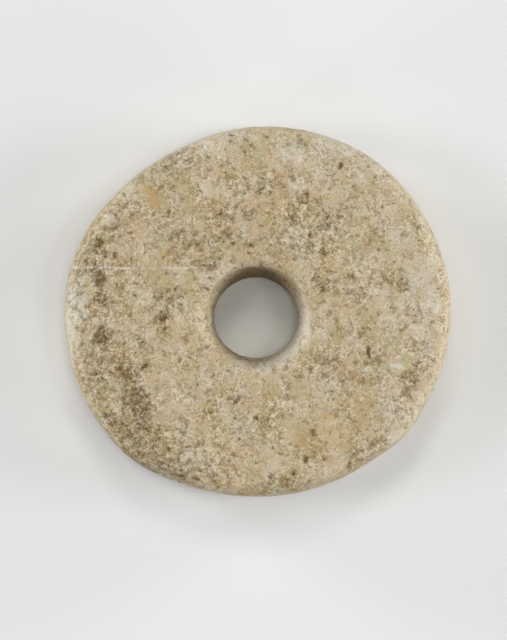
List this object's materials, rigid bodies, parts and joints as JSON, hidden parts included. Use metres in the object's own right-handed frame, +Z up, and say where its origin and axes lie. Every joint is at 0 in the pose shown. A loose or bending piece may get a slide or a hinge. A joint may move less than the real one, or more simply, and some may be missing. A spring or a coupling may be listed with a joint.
{
  "type": "stone spindle whorl",
  "caption": "Round stone spindle whorl with flat faces, worn rounded edges and a bore, flared at its mouth, that takes the lower end of a spindle's shaft.",
  "frame": {"origin": "middle of the disc's footprint, on the underside that it lies on", "axes": "+Z up through the thickness, out of the bore's wide mouth; +X across the disc's greatest width"},
  "size_m": [0.04, 0.0384, 0.009],
  "materials": {
    "stone": "matte"
  },
  "bodies": {
    "root": {"whorl": "stone"}
  },
  "joints": []
}
